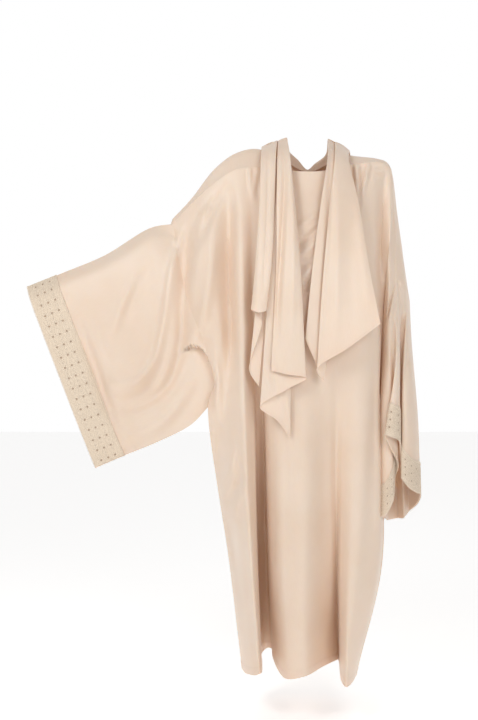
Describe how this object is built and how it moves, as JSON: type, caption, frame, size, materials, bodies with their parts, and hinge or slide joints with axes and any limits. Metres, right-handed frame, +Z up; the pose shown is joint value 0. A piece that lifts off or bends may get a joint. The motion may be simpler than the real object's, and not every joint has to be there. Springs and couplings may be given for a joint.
{
  "type": "prayer dress with attached veil",
  "caption": "Long loose satin prayer dress with very wide sleeves, lace cuffs and an attached veil whose folded ends hang on the chest, worn with one arm raised.",
  "frame": {"origin": "on the shoulder line, in the middle of the neck opening, where the worn dress hangs", "axes": "+Z up, +X towards the wearer's left, +Y towards the wearer's back"},
  "size_m": [1.0596, 0.4114, 1.4635],
  "materials": {
    "satin": "matt champagne satin crepe",
    "veil_satin": "the same champagne satin crepe, cut as the veil",
    "lace": "matt corded cotton lace in the same champagne"
  },
  "bodies": {
    "root": {"front": "satin", "back": "satin", "sleeve_right": "satin", "sleeve_left": "satin", "cuff_lace_right_front": "lace", "cuff_lace_right_back": "lace", "cuff_lace_left_front": "lace", "cuff_lace_left_back": "lace", "veil_end_right": "veil_satin", "veil_strip_right": "veil_satin", "veil_end_left": "veil_satin", "veil_neck": "veil_satin"}
  },
  "joints": []
}
